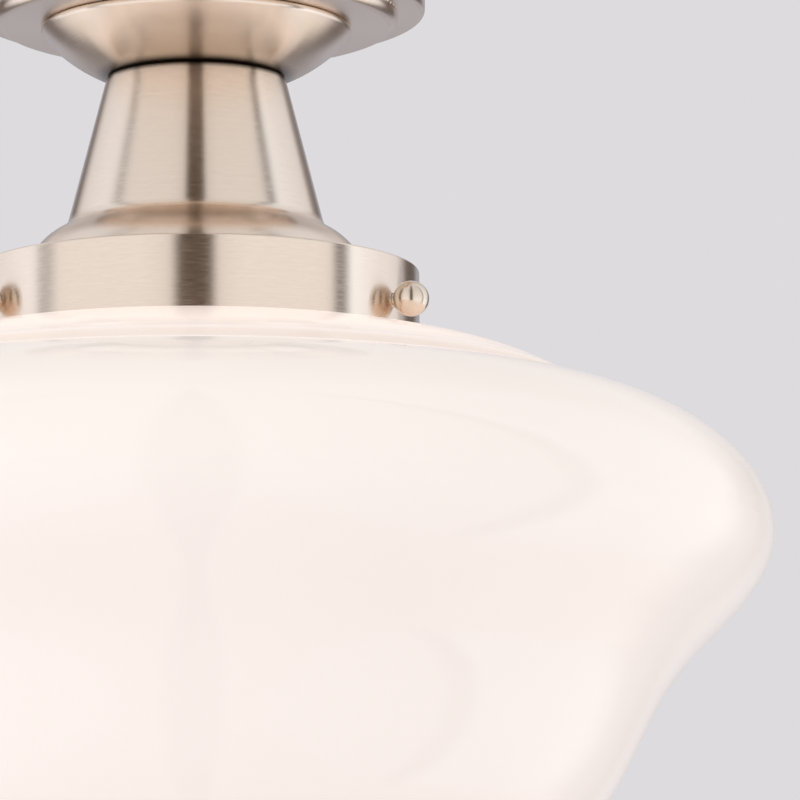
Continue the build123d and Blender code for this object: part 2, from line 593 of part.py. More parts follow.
def make_bulb_glass():
    """Frosted envelope, hollow, seated in the mouth of the base."""
    seat = 4.0
    neck = BULB_BASE_RADIUS - 0.5 - FIT
    widest = BULB_GLASS_HEIGHT - BULB_RADIUS

    def wall(offset):
        """Neck, flare and dome of one face of the envelope."""
        collar = point(neck - offset, BULB_GLASS_Z)
        side = point(BULB_RADIUS - offset, BULB_GLASS_Z - widest)
        end = point(0, BULB_GLASS_Z - BULB_GLASS_HEIGHT + offset)
        flare = smooth(collar, Vector(0.12, 0, -1), side, Vector(0, 0, -1), 0.42, 0.4)
        dome_radius = BULB_RADIUS - offset
        lean = cos(radians(45)) * dome_radius
        dome = ThreePointArc(side, point(lean, side.Z - lean), end)
        return collar, [flare, dome]

    collar, outer = wall(0.0)
    collar_in, inner = wall(BULB_GLASS_WALL)
    top = BULB_GLASS_Z + seat
    return turned([
        Line(point(collar.X, top), collar), *outer,
        Line(outer[1] @ 1, inner[1] @ 1), *inner,
        Line(collar_in, point(collar_in.X, top)),
        Line(point(collar_in.X, top), point(collar.X, top))])


# ---------------------------------------------------------------- leads
def connector_pose(azimuth, start_radius, turn):
    """Location of a connector: its mouth at the start radius, pointing away along turn."""
    x, y = start_radius * cos(radians(azimuth)), start_radius * sin(radians(azimuth))
    return Pos(x, y, CONNECTOR_Z) * Rot(0, 0, turn) * Rot(0, 90, 0)


def make_connector():
    """Tapered twist-on cap with a closed end and grooves for the fingers; its mouth is at z = 0."""
    bore = LEAD_RADIUS + FIT / 5
    bore_end = CONNECTOR_LENGTH - CONNECTOR_END
    cap = turned(rounded(
        (bore, 0), (CONNECTOR_RADIUS, 0, 0.5), (CONNECTOR_TIP_RADIUS, CONNECTOR_LENGTH, 1.2),
        (0, CONNECTOR_LENGTH), (0, bore_end), (bore, bore_end), (bore, 0)))
    taper = Vector(CONNECTOR_TIP_RADIUS - CONNECTOR_RADIUS, 0, CONNECTOR_LENGTH)
    cutter = Cylinder(GROOVE_RADIUS, CONNECTOR_LENGTH * 2, align=(Align.CENTER, Align.CENTER, Align.MIN))
    lean = Rot(0, -taper.get_angle(Vector(0, 0, 1)), 0)
    start = Pos(CONNECTOR_RADIUS + GROOVE_RADIUS - GROOVE_DEPTH, 0, 0)
    groove = start * lean * Pos(0, 0, CONNECTOR_COLLAR) * cutter
    return cap - [Rot(0, 0, i * 360 / CONNECTOR_GROOVES) * groove for i in range(CONNECTOR_GROOVES)]


def make_lead(points, bends):
    """Insulated lead: straight runs joined by tangent arcs."""
    path = FilletPolyline(*points, radius=bends)
    start = Plane(origin=path @ 0, z_dir=path % 0)
    return sweep(start * Circle(LEAD_RADIUS), path=path)


def lead_route(side, azimuth, start_radius, turn):
    """Corners of a lead from the porcelain up the nipple and down into its connector."""
    mouth = connector_pose(azimuth, start_radius, turn)
    into = mouth * Pos(0, 0, CONNECTOR_LENGTH * 0.5)
    before = mouth * Pos(0, 0, -MOUTH_RUN)
    lead_y = side * LEAD_PITCH
    reach = start_radius * 0.34
    over = (reach * cos(radians(azimuth)), lead_y + reach * sin(radians(azimuth)), LEAD_LEVEL_Z)
    return [(0, lead_y, PORCELAIN_TOP_Z - LEAD_SOCKET + CLEAR), (0, lead_y, LEAD_LEVEL_Z), over,
            tuple(before.position), tuple(into.position)]


def make_ground_lead(azimuth, start_radius, turn):
    """Lead from the ground screw's head to its own connector."""
    mouth = connector_pose(azimuth, start_radius, turn)
    into = mouth * Pos(0, 0, CONNECTOR_LENGTH * 0.5)
    before = mouth * Pos(0, 0, -GROUND_MOUTH_RUN)
    head_z = -PLATE - GROUND_HEAD_HEIGHT - LEAD_RADIUS
    points = [(GROUND_SCREW_PLACE, 0, head_z), (GROUND_SCREW_PLACE + GROUND_RUN, 0, head_z - GROUND_FALL),
              tuple(before.position), tuple(into.position)]
    return make_lead(points, [MOUTH_BEND, MOUTH_BEND])


# ---------------------------------------------------------------- build every node
save(make_canopy(), "canopy")
save(make_mounting_plate(), "mounting_plate")
save(make_canopy_screws(), "canopy_screws")
ground_screw = pan_screw(GROUND_HEAD_RADIUS, GROUND_HEAD_HEIGHT, GROUND_SCREW_RADIUS, PLATE)
save(Pos(GROUND_SCREW_PLACE, 0, -PLATE) * Rot(180, 0, 0) * ground_screw, "ground_screw")

save(make_cup(), "canopy_cup")
save(make_neck_cone(), "neck_cone")
save(make_shade_holder(), "shade_holder")

canopy_inside_z = CANOPY_FLOOR_Z + SHEET
upper_nut_z = canopy_inside_z + WASHER_HEIGHT + NUT_HEIGHT
lower_washer_z = HOLDER_ROOF_Z - BRACKET
lower_nut_z = lower_washer_z - WASHER_HEIGHT
nipple_end_z = lower_nut_z - NUT_HEIGHT - 2.0
save(tube(NIPPLE_RADIUS, NIPPLE_BORE, canopy_inside_z + NIPPLE_STAND, nipple_end_z), "threaded_nipple")
save(hex_nut(NUT_FLATS, STACK_HOLE, upper_nut_z, NUT_HEIGHT), "upper_nut")
save(tube(WASHER_RADIUS, STACK_HOLE, canopy_inside_z + WASHER_HEIGHT, canopy_inside_z), "upper_washer")
save(hex_nut(NUT_FLATS, STACK_HOLE, lower_nut_z, NUT_HEIGHT), "lower_nut")
save(tube(WASHER_RADIUS, STACK_HOLE, lower_washer_z, lower_nut_z), "lower_washer")

save(Compound(children=[Rot(0, 0, a) * make_boss() for a in SCREW_AZIMUTHS]), "screw_bosses")
for number, azimuth in enumerate(SCREW_AZIMUTHS, start=1):
    save(Rot(0, 0, azimuth) * make_tip(), f"screw_tip_{number}")
    save(Rot(0, 0, azimuth) * make_thumbscrew(), f"thumbscrew_{number}")

save(make_shade(), "glass_shade")

save(make_bracket(), "holder_bracket")
bracket_screw = pan_screw(BRACKET_HEAD_RADIUS, BRACKET_HEAD_HEIGHT, BRACKET_SCREW_RADIUS,
                          BRACKET_SCREW_LENGTH)
save(Compound(children=[Pos(side * BRACKET_SCREW_PLACE, 0, PORCELAIN_TOP_Z + BRACKET) * bracket_screw
                        for side in (-1, 1)]), "bracket_screws")
save(make_porcelain(), "lamp_holder")
save(make_screw_shell(), "screw_shell")
save(make_centre_contact(), "centre_contact")
save(make_bulb_contact(), "bulb_contact")
save(make_bulb_base(), "bulb_base")
save(make_bulb_glass(), "bulb_glass")

lead_bends = [LEAD_BEND, LEAD_BEND, MOUTH_BEND]
save(make_lead(lead_route(1, *CONNECTORS[0]), lead_bends), "black_lead")
save(make_lead(lead_route(-1, *CONNECTORS[1]), lead_bends), "white_lead")
save(make_ground_lead(*CONNECTORS[2]), "ground_lead")
connector = make_connector()
save(Compound(children=[connector_pose(*c) * connector for c in CONNECTORS]), "wire_connectors")
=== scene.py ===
"""Semi flush ceiling light: finishes, screw threads, wire connectors, studio and camera.

Metres, in the row frame: the origin is on the ceiling, at the centre of the canopy's rim.
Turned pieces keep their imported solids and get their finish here. The thumbscrews, the nipple
and the bulb's base are turned again with real threads, and the wire connectors with ribs.
"""
import json
from math import asin, cos, pi, radians, sin, sqrt

import bmesh
import bpy
from mathutils import Matrix, Vector


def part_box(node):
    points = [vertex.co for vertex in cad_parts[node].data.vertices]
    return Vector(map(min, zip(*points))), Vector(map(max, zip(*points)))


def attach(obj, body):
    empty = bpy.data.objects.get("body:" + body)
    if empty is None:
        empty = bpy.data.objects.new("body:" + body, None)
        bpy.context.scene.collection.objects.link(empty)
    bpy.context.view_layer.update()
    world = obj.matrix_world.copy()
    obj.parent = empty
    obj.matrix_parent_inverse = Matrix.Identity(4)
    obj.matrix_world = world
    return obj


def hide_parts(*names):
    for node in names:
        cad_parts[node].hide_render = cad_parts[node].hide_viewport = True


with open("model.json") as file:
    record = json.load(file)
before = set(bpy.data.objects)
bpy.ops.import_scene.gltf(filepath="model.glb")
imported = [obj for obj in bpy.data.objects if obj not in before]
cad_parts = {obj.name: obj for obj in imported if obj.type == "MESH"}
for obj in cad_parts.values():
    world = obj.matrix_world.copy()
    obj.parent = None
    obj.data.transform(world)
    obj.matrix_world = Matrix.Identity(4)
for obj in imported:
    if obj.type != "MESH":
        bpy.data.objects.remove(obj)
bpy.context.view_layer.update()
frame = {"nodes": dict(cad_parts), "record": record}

MM = 0.001
MM_PER_METRE = 1000.0

# ---------------------------------------------------------------- turned pieces
SHARP_EDGE = radians(38)      # edges bent by more than this are shaded sharp

SCREW_AZIMUTHS = (-30, 90, 210)
SCREW_PITCH = 0.794 * MM
SCREW_SHANK = 2.05 * MM
SCREW_ROOT = 1.68 * MM
SCREW_LEAD_IN = 0.35 * MM     # plain stretch at each end of the thread
SCREW_ROWS = 10               # rows to each turn of the thread
SCREW_SIDES = 64
BALL = 5.2 * MM
BALL_PLACE = 71.4 * MM        # ball centres off the light's axis
BALL_ROWS = 40
TIP_BORE = 0.95 * MM
TIP_BORE_DEPTH = 1.6 * MM

NIPPLE_PITCH = 0.941 * MM
NIPPLE_RADIUS = 4.85 * MM
NIPPLE_ROOT = 4.42 * MM
NIPPLE_BORE = 3.4 * MM
NIPPLE_EDGE = 0.5 * MM        # plain stretch at each end
NIPPLE_ROWS = 6
NIPPLE_SIDES = 40

BASE_PITCH = 3.629 * MM
BASE_RADIUS = 13.1 * MM
BASE_ROOT = 12.35 * MM
BASE_INSIDE = BASE_RADIUS - 1.0 * MM
BASE_END = BASE_RADIUS * 0.7  # flat end inside the sloping shoulder
BASE_SHOULDER = 3.0 * MM
BASE_CAP = 3.5 * MM           # end of the base down to its hollow
BASE_THREAD_DROP = 0.4 * MM   # thread's start below the shoulder
BASE_PLAIN = 2.2 * MM         # plain stretch at the open end
BASE_FLARE = 0.3 * MM         # open end beyond the thread's root
BASE_ROWS = 12
BASE_SIDES = 72

# ---------------------------------------------------------------- wire connectors
# Azimuth of each mouth, its distance off the axis in mm, and the azimuth that the cap points to.
CONNECTORS = ((52, 34.0, 142), (-128, 34.0, -38), (-20, 40.0, -110))
CONNECTOR_Z = -14.3 * MM
CONNECTOR_LENGTH = 19.0 * MM
CONNECTOR_MOUTH = 4.6 * MM
CONNECTOR_TIP = 3.4 * MM
CONNECTOR_BORE = 1.11 * MM
CONNECTOR_END = 4.8 * MM      # closed end beyond the bore
CONNECTOR_COLLAR = 3.2 * MM   # plain stretch at the mouth
CONNECTOR_EDGE = 0.5 * MM     # bevel at the mouth, and the step from the collar to the ribs
CONNECTOR_BEVEL = 0.3         # share of that edge where the bevel turns
CONNECTOR_ROUND = 1.2 * MM    # rounding of the closed end
CONNECTOR_DOME = 0.8          # how far the rounding draws in, against its height
CONNECTOR_RIBS = 10
CONNECTOR_RIB = 0.45 * MM     # depth of the grooves between the ribs
CONNECTOR_RIB_START = 0.15 * MM  # ribs' first tops below the collar
RIB_CROWN = 0.6               # below 1 makes the ribs narrower than their grooves
SIDES_PER_RIB = 8
CONNECTOR_ROWS = 6

# ---------------------------------------------------------------- brushing and clouding
DASH_CHANGES = 260.0          # how fast the brushing changes along its lines, per metre
STREAK_CHANGES = 18.0
DASH_SHARE, STREAK_SHARE = 0.7, 0.3
LINE_DETAIL = 2.0
PATCH_DETAIL, GRAIN_DETAIL = 3.0, 2.0
NOISE_LOW, NOISE_HIGH = 0.3, 0.7  # stretch of a noise that is spread over 0 to 1

# ---------------------------------------------------------------- satin nickel
SATIN = (0.80, 0.695, 0.605)
SATIN_LINES = 0.32            # mm between brushing lines
SATIN_PATCH = 38.0            # mm
DARK_LINE, LIGHT_LINE = 0.05, 0.025  # how much darker and lighter the lines get
SMOOTH_LINE, ROUGH_LINE = 0.045, 0.055
SMOOTH_PATCH, ROUGH_PATCH = -0.010, 0.014
LINE_RELIEF, LINE_DEPTH = 0.10, 0.00008

SEAM_RADIUS = 26.5            # mm, where the cup meets the cone
SEAM_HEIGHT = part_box("neck_cone")[1].z / MM
CREASE_RADIUS = 38.0          # mm, where the cone turns into its skirt
CREASE_HEIGHT = SEAM_HEIGHT - 44.7
# For each satin piece: its roughness, how strong the brushing is, which way its lines follow
# each other in height and radius, and its rings of painted shade, where shade falls in the seam
# between cup and cone, over the cup's foot and on the skirt below the cone's crease. A ring has
# its radius and height, how far off it the painted shade starts to fade and where it ends, all
# in mm, and its shade.
BRUSHED_WITH_PAINTED_SHADE = {
    "canopy": {"roughness": 0.23, "grain": 0.25, "height_share": 0.5, "radius_share": -0.5, "rings": ()},
    "canopy_cup": {"roughness": 0.25, "grain": 0.42, "height_share": 0.5, "radius_share": 0.5, "rings": (
        # Painted shade: near black in the seam under the cup, and a wider, fainter darkening over the cup's
        # foot
        (SEAM_RADIUS, SEAM_HEIGHT, -0.4, 5.0, (0.09, 0.070, 0.052)),
        (SEAM_RADIUS, SEAM_HEIGHT, 3.0, 16.0, (0.66, 0.62, 0.57)))},
    "neck_cone": {"roughness": 0.21, "grain": 1.0, "height_share": 1.0, "radius_share": -1.0, "rings": (
        # Painted shade: in the seam on top of the cone, and on the skirt just below the crease
        (SEAM_RADIUS, SEAM_HEIGHT, -0.3, 1.6, (0.06, 0.045, 0.034)),
        (CREASE_RADIUS + 5.5, CREASE_HEIGHT - 3.5, 1.5, 6.0, (0.76, 0.75, 0.74)))},
    "shade_holder": {"roughness": 0.21, "grain": 1.0, "height_share": 1.0, "radius_share": -1.0, "rings": ()},
}

# ---------------------------------------------------------------- other metals, plastics and insulation
METAL_SHADE = 0.94            # handling patches against the plain metal
METAL_ROUGHER = 0.05
METAL_GRAIN = 0.5             # mm
METAL_GRAIN_SMOOTH, METAL_GRAIN_ROUGH = -0.01, 0.02
METAL_RELIEF = 0.12
METALS = {
    "polished_nickel": {"colour": (0.78, 0.68, 0.58), "roughness": 0.17, "patch": 14.0, "depth": 0.00001},
    "bright_steel": {"colour": (0.66, 0.67, 0.66), "roughness": 0.30, "patch": 7.0},
    "green_screw": {"colour": (0.06, 0.34, 0.13), "roughness": 0.30, "patch": 3.0},
    "brass": {"colour": (0.84, 0.62, 0.30), "roughness": 0.20, "patch": 6.0},
    "bulb_metal": {"colour": (0.78, 0.78, 0.77), "roughness": 0.26, "patch": 6.0},
}

MOULD_SHADE = 0.93            # mottle against the plain colour
MOULD_SMOOTH, MOULD_ROUGH = 0.85, 1.15
MOULD_RELIEF, MOULD_DEPTH = 0.15, 0.00002
MOULDINGS = {
    "soft_tip": {"colour": (0.86, 0.85, 0.80), "roughness": 0.42, "patch": 2.0},
    "porcelain": {"colour": (0.90, 0.89, 0.86), "roughness": 0.10, "patch": 12.0, "Coat_Weight": 0.5},
    "bulb_insulator": {"colour": (0.03, 0.03, 0.035), "roughness": 0.12, "patch": 3.0},
    "frosted_glass": {"colour": (0.93, 0.92, 0.89), "roughness": 0.48, "patch": 16.0},
    "black_insulation": {"colour": (0.025, 0.025, 0.027), "roughness": 0.36, "patch": 5.0},
    "white_insulation": {"colour": (0.84, 0.84, 0.82), "roughness": 0.36, "patch": 5.0},
    "green_insulation": {"colour": (0.05, 0.30, 0.11), "roughness": 0.36, "patch": 5.0},
    "connector_plastic": {"colour": (0.80, 0.33, 0.06), "roughness": 0.34, "patch": 4.0, "grain": 0.3},
}

# ---------------------------------------------------------------- opal glass
OPAL = (0.958, 0.895, 0.855)
OPAL_SHADE = 0.985            # uneven patches against the plain glass
OPAL_PATCH = 70.0             # mm
OPAL_ROUGHNESS, OPAL_SPREAD = 0.06, 0.015
OPAL_RELIEF, OPAL_DEPTH = 0.06, 0.0003
# Painted glow: emission makes the shade glow as if lit from inside, though the bulb gives no light, and
# warmer in the groove under the band.
OPAL_GLOW = (0.143, 0.129, 0.118)
GROOVE_GLOW = (0.363, 0.267, 0.214)
GROOVE_RADIUS, GROOVE_END = 0.104, 0.1125  # the warm glow fades over these radii
GROOVE_FOOT, GROOVE_TOP = -0.150, -0.130   # and over these heights
SPECKS_PER_METRE = 26.0
SPECK_CORE, SPECK_EDGE = 0.006, 0.014      # against the distance between specks
SPECKS_LEFT_OUT = 0.55
SPECK = (0.42, 0.36, 0.30)
# Painted shade on the riser between the shade's first tier and its shoulder, and in the crease
# below it, making the glass darker and warmer there, as rings like those of the satin pieces.
GLASS_STEP_PAINTED_SHADE = ((113.0, -129.7, 0.8, 2.8, (0.94, 0.885, 0.84)),
              (114.6, -131.5, 0.0, 1.4, (0.90, 0.87, 0.84)))

# ---------------------------------------------------------------- studio
BACKDROP = (0.723, 0.708, 0.730)
FILL_ABOVE = (0.79, 0.77, 0.75)
FILL_BELOW = (0.885, 0.88, 0.91)

DARK = (0.115, 0.084, 0.064)
SIDE_DARK = (0.150, 0.128, 0.120)
FRONT = (1.04, 1.02, 1.01)
FRONT_EDGE = (0.95, 0.93, 0.92)
SIDE = (1.12, 1.13, 1.17)
SIDE_FAR = (0.93, 0.92, 0.95)
SIDE_EDGE = (1.26, 1.33, 1.39)
LEFT_SEAM = (0.60, 0.60, 0.61)
RIGHT_SEAM = (0.26, 0.25, 0.25)
REAR = (0.42, 0.415, 0.45)
# What metal and glass reflect, by azimuth in degrees from the camera's side of the light, to the
# right as the camera sees it: front and side panels, the gaps between them, and the rear.
PANELS = (
    (-180, REAR), (-158, REAR), (-150, SIDE_DARK), (-142, SIDE_DARK),
    (-127, SIDE_FAR), (-100, SIDE), (-91, SIDE), (-86, LEFT_SEAM), (-80.5, LEFT_SEAM),
    (-75, FRONT), (-28, FRONT), (-13, FRONT_EDGE), (-8.3, DARK),
    (7.3, DARK), (11, FRONT_EDGE), (25, FRONT), (73, FRONT),
    (77.5, RIGHT_SEAM), (82, RIGHT_SEAM), (87, SIDE_EDGE), (100, SIDE), (125.5, SIDE_FAR),
    (137, SIDE_DARK), (150, SIDE_DARK), (158, REAR), (180, REAR))

# In the values below, a height is the sine of the elevation, and where two values stand side by
# side, the change runs from the one to the other.
SIDE_WRAP = 0.20              # how much further back the side panels reach, high up
WRAP_START, WRAP_FULL = radians(100), radians(130)
WRAP_LOW, WRAP_HIGH = 0.15, 0.85
BELOW = (0.86, 0.77, 0.67)    # what shows under the panels' lower edges
PANEL_FOOT = 0.84             # how far down the panels reach, at their middle
FOOT_SOFT = 0.03              # half the width of their lower edge
PANEL_MIDDLE = radians(60)
PANEL_TURN = 0.8              # how fast the lower edges rise away from the middle
GAP_SIDE, GAP_END = radians(8), radians(14)             # no lower edge in the gap in front
PANEL_END, PANEL_GONE = radians(130), radians(142)      # nor behind the side panels
REAR_CEILING = (0.80, 0.75, 0.73)
REAR_START, REAR_FULL = radians(128), radians(150)
CEILING_START, CEILING_FULL = 0.27, 0.48
OVERHEAD = 0.82               # how bright what is reflected gets high up, and below the light
UNDERFOOT = 1.14
OVERHEAD_START, OVERHEAD_FULL = 0.2, 0.8
UNDERFOOT_FULL, UNDERFOOT_START = -0.12, 0.08

FLOOR = (0.88, 0.855, 0.86)
FLOOR_ROUGHNESS = 0.9
FLOOR_Z = -0.62
FLOOR_RADIUS = 1.6
FLOOR_SIDES = 96
FLOOR_FADE_START, FLOOR_FADE_END = FLOOR_RADIUS * 0.35, FLOOR_RADIUS * 0.98

LIGHT_SIZE = 1.3
LIGHT_AIM = Vector((0, 0, -0.16))
# Name, place and watts of each soft light.
LIGHTS = (("key", (-1.2, -1.7, 0.05), 4.0),
          ("right_light", (1.65, 0.95, -0.45), 8.0),
          ("left_light", (-1.9, 0.5, -0.1), 3.0))

# ---------------------------------------------------------------- camera
CAMERA_PLACE = Vector((0.0, -1.600, -0.3785))
CAMERA_SENSOR = 36.0          # mm wide
CAMERA_LENS = 248.55          # mm
CAMERA_PITCH = radians(8.78)  # up
CAMERA_YAW = radians(2.143)   # to the right
CAMERA_ROLL = radians(-0.241)
CAMERA_NEAR = 0.01


# ---------------------------------------------------------------- node helpers
def add(tree, kind, inputs=None, **settings):
    """Add a shader node, set its properties, and fill or link its inputs."""
    made = tree.nodes.new(kind)
    for key, value in settings.items():
        setattr(made, key, value)
    for key, value in (inputs or {}).items():
        if isinstance(value, bpy.types.NodeSocket):
            tree.links.new(value, made.inputs[key])
        else:
            made.inputs[key].default_value = value
    return made


def maths(tree, operation, *values):
    """Output of a Math node with these inputs."""
    return add(tree, "ShaderNodeMath", dict(enumerate(values)), operation=operation).outputs[0]


def blend(tree, share, first, second):
    """Colour between the first, at share 0, and the second, at share 1."""
    mix = add(tree, "ShaderNodeMix", data_type="RGBA")
    for socket, value in zip((mix.inputs[0], mix.inputs[6], mix.inputs[7]), (share, first, second)):
        if isinstance(value, bpy.types.NodeSocket):
            tree.links.new(value, socket)
        else:
            socket.default_value = value if isinstance(value, float) else (*value, 1.0)
    return mix.outputs[2]


def darkened(tree, colour, clear, darkest):
    """Colour times the darkest shade where clear is 0, and the plain colour where it is 1."""
    mix = add(tree, "ShaderNodeMix", data_type="RGBA", blend_type="MULTIPLY")
    tree.links.new(maths(tree, "SUBTRACT", 1.0, clear), mix.inputs[0])
    tree.links.new(colour, mix.inputs[6])
    mix.inputs[7].default_value = (*darkest, 1.0)
    return mix.outputs[2]


def spread(tree, value, low, high, start=0.0, end=1.0):
    """Map a value from start..end to low..high."""
    return add(tree, "ShaderNodeMapRange", {"Value": value, "From Min": start, "From Max": end,
                                            "To Min": low, "To Max": high}).outputs[0]


def length(tree, first, second):
    """Length of the hypotenuse over two sides."""
    return maths(tree, "SQRT", maths(tree, "ADD", maths(tree, "MULTIPLY", first, first),
                                     maths(tree, "MULTIPLY", second, second)))


def from_axis(tree):
    """Distance off the light's axis, and the place's x, y and z."""
    place = add(tree, "ShaderNodeTexCoord").outputs["Object"]
    x, y, z = add(tree, "ShaderNodeSeparateXYZ", {0: place}).outputs
    return length(tree, x, y), x, y, z


# ---------------------------------------------------------------- effects shared by materials
def new_group(name, inputs, outputs):
    """Empty node group with these float inputs, by name and value, and float outputs."""
    group = bpy.data.node_groups.new(name, "ShaderNodeTree")
    for label, value in inputs:
        socket = group.interface.new_socket(label, in_out="INPUT", socket_type="NodeSocketFloat")
        socket.default_value = value
    for label in outputs:
        group.interface.new_socket(label, in_out="OUTPUT", socket_type="NodeSocketFloat")
    return group, add(group, "NodeGroupInput").outputs, add(group, "NodeGroupOutput").inputs


def brushing_group():
    """Fine lines round the Z axis: short dashes over long streaks, and their relief."""
    group, given, out = new_group("brushing", (("Height share", 1.0), ("Radius share", 0.0),
                                               ("Line spacing mm", 0.5)), ("Streak", "Relief"))
    radius, x, y, z = from_axis(group)
    across = maths(group, "ADD", maths(group, "MULTIPLY", z, given["Height share"]),
                   maths(group, "MULTIPLY", radius, given["Radius share"]))
    lines = maths(group, "DIVIDE", maths(group, "MULTIPLY", across, MM_PER_METRE), given["Line spacing mm"])

    def along(changes):
        """Noise that changes from line to line, and this fast along the lines."""
        where = add(group, "ShaderNodeCombineXYZ", {0: lines, 1: maths(group, "MULTIPLY", x, changes),
                                                    2: maths(group, "MULTIPLY", y, changes)})
        return add(group, "ShaderNodeTexNoise", {"Vector": where.outputs[0], "Scale": 1.0,
                                                 "Detail": LINE_DETAIL}).outputs[0]

    dashes, streaks = along(DASH_CHANGES), along(STREAK_CHANGES)
    mixed = maths(group, "ADD", maths(group, "MULTIPLY", dashes, DASH_SHARE),
                  maths(group, "MULTIPLY", streaks, STREAK_SHARE))
    group.links.new(spread(group, mixed, 0.0, 1.0, NOISE_LOW, NOISE_HIGH), out["Streak"])
    group.links.new(dashes, out["Relief"])
    return group


def painted_shade_ring_group():
    """How clear a place is of a ring of painted shade, such as the seam where two pieces meet: 0 on the ring,
    1 away from it.
    """
    group, given, out = new_group("joint", (("Ring radius mm", 20.0), ("Ring height mm", 0.0),
                                            ("Start mm", 0.0), ("Reach mm", 5.0)), ("Clear",))
    radius, _, _, z = from_axis(group)
    beside, above = (maths(group, "SUBTRACT", maths(group, "MULTIPLY", value, MM_PER_METRE), given[ring])
                     for value, ring in ((radius, "Ring radius mm"), (z, "Ring height mm")))
    clear = add(group, "ShaderNodeMapRange", {"Value": length(group, beside, above),
                                              "From Min": given["Start mm"], "From Max": given["Reach mm"]},
                interpolation_type="SMOOTHSTEP").outputs[0]
    group.links.new(clear, out["Clear"])
    return group


def clouding_group():
    """Soft uneven patches, such as handling leaves on a smooth surface, and a fine grain."""
    group, given, out = new_group("clouding", (("Patch size mm", 20.0), ("Grain size mm", 0.6)),
                                  ("Patch", "Grain"))
    place = add(group, "ShaderNodeTexCoord").outputs["Object"]
    for label, size, detail in (("Patch", "Patch size mm", PATCH_DETAIL),
                                ("Grain", "Grain size mm", GRAIN_DETAIL)):
        scale = maths(group, "DIVIDE", MM_PER_METRE, given[size])
        noise = add(group, "ShaderNodeTexNoise", {"Vector": place, "Scale": scale, "Detail": detail})
        group.links.new(spread(group, noise.outputs[0], 0.0, 1.0, NOISE_LOW, NOISE_HIGH), out[label])
    return group


BRUSHING = brushing_group()
PAINTED_SHADE_RING = painted_shade_ring_group()
CLOUDING = clouding_group()


def placed(tree, group, **values):
    """Place a shared effect in a material, with this material's own values."""
    made = add(tree, "ShaderNodeGroup", node_tree=group)
    for key, value in values.items():
        made.inputs[key.replace("_", " ")].default_value = value
    return made.outputs


def with_painted_shade(tree, colour, rings):
    """Colour with the painted shade of each ring round the light's axis."""
    for radius, height, start, reach, shade in rings:
        clear = placed(tree, PAINTED_SHADE_RING, Ring_radius_mm=radius, Ring_height_mm=height,
                       Start_mm=start, Reach_mm=reach)["Clear"]
        colour = darkened(tree, colour, clear, shade)
    return colour


# ---------------------------------------------------------------- materials
def start_material(name, colour, roughness, metallic=0.0, **sockets):
    """New material with its shader's plain values set; returns it, its tree and its shader."""
    material = bpy.data.materials.new(name)
    material.use_nodes = True
    tree = material.node_tree
    shader = tree.nodes["Principled BSDF"]
    shader.inputs["Base Color"].default_value = (*colour, 1.0)
    shader.inputs["Roughness"].default_value = roughness
    shader.inputs["Metallic"].default_value = metallic
    for key, value in sockets.items():
        shader.inputs[key.replace("_", " ")].default_value = value
    return material, tree, shader


def times(colour, factor):
    """Colour made darker or lighter by a factor."""
    return tuple(channel * factor for channel in colour)


def relief(tree, shader, height, strength, depth):
    """Raise the surface by a height from 0 to 1."""
    bump = add(tree, "ShaderNodeBump", {"Height": height, "Strength": strength, "Distance": depth})
    tree.links.new(bump.outputs[0], shader.inputs["Normal"])


def satin_nickel(name, roughness, grain, height_share, radius_share, rings):
    """Brushed nickel. The shares say which way the brushing lines follow each other."""
    material, tree, shader = start_material(name, SATIN, roughness, 1.0, Anisotropic=0.88,
                                            Anisotropic_Rotation=0.25)
    round_axis = add(tree, "ShaderNodeTangent", direction_type="RADIAL", axis="Z")
    tree.links.new(round_axis.outputs[0], shader.inputs["Tangent"])
    lines = placed(tree, BRUSHING, Height_share=height_share, Radius_share=radius_share,
                   Line_spacing_mm=SATIN_LINES)
    patches = placed(tree, CLOUDING, Patch_size_mm=SATIN_PATCH)
    tint = blend(tree, lines["Streak"], times(SATIN, 1 - DARK_LINE * grain),
                 times(SATIN, 1 + LIGHT_LINE * grain))
    # The rings paint shade into the brushed colour in seams and fillets.
    tree.links.new(with_painted_shade(tree, tint, rings), shader.inputs["Base Color"])
    rough = maths(tree, "ADD", spread(tree, lines["Streak"], roughness - SMOOTH_LINE * grain,
                                      roughness + ROUGH_LINE * grain),
                  spread(tree, patches["Patch"], SMOOTH_PATCH, ROUGH_PATCH))
    tree.links.new(rough, shader.inputs["Roughness"])
    relief(tree, shader, lines["Relief"], LINE_RELIEF * grain, LINE_DEPTH)
    return material


def smooth_metal(name, colour, roughness, patch, depth=0.00002):
    """Plated or polished metal with faint handling patches and a fine grain."""
    material, tree, shader = start_material(name, colour, roughness, 1.0)
    marks = placed(tree, CLOUDING, Patch_size_mm=patch, Grain_size_mm=METAL_GRAIN)
    tint = blend(tree, marks["Patch"], times(colour, METAL_SHADE), colour)
    tree.links.new(tint, shader.inputs["Base Color"])
    rough = maths(tree, "ADD", spread(tree, marks["Patch"], roughness, roughness + METAL_ROUGHER),
                  spread(tree, marks["Grain"], METAL_GRAIN_SMOOTH, METAL_GRAIN_ROUGH))
    tree.links.new(rough, shader.inputs["Roughness"])
    relief(tree, shader, marks["Grain"], METAL_RELIEF, depth)
    return material


def moulded(name, colour, roughness, patch, grain=0.4, **sockets):
    """Plastic, nylon, porcelain or insulation with a faint mottle and surface grain."""
    material, tree, shader = start_material(name, colour, roughness, 0.0, **sockets)
    marks = placed(tree, CLOUDING, Patch_size_mm=patch, Grain_size_mm=grain)
    tint = blend(tree, marks["Patch"], times(colour, MOULD_SHADE), colour)
    tree.links.new(tint, shader.inputs["Base Color"])
    rough = spread(tree, marks["Patch"], roughness * MOULD_SMOOTH, roughness * MOULD_ROUGH)
    tree.links.new(rough, shader.inputs["Roughness"])
    relief(tree, shader, marks["Grain"], MOULD_RELIEF, MOULD_DEPTH)
    return material


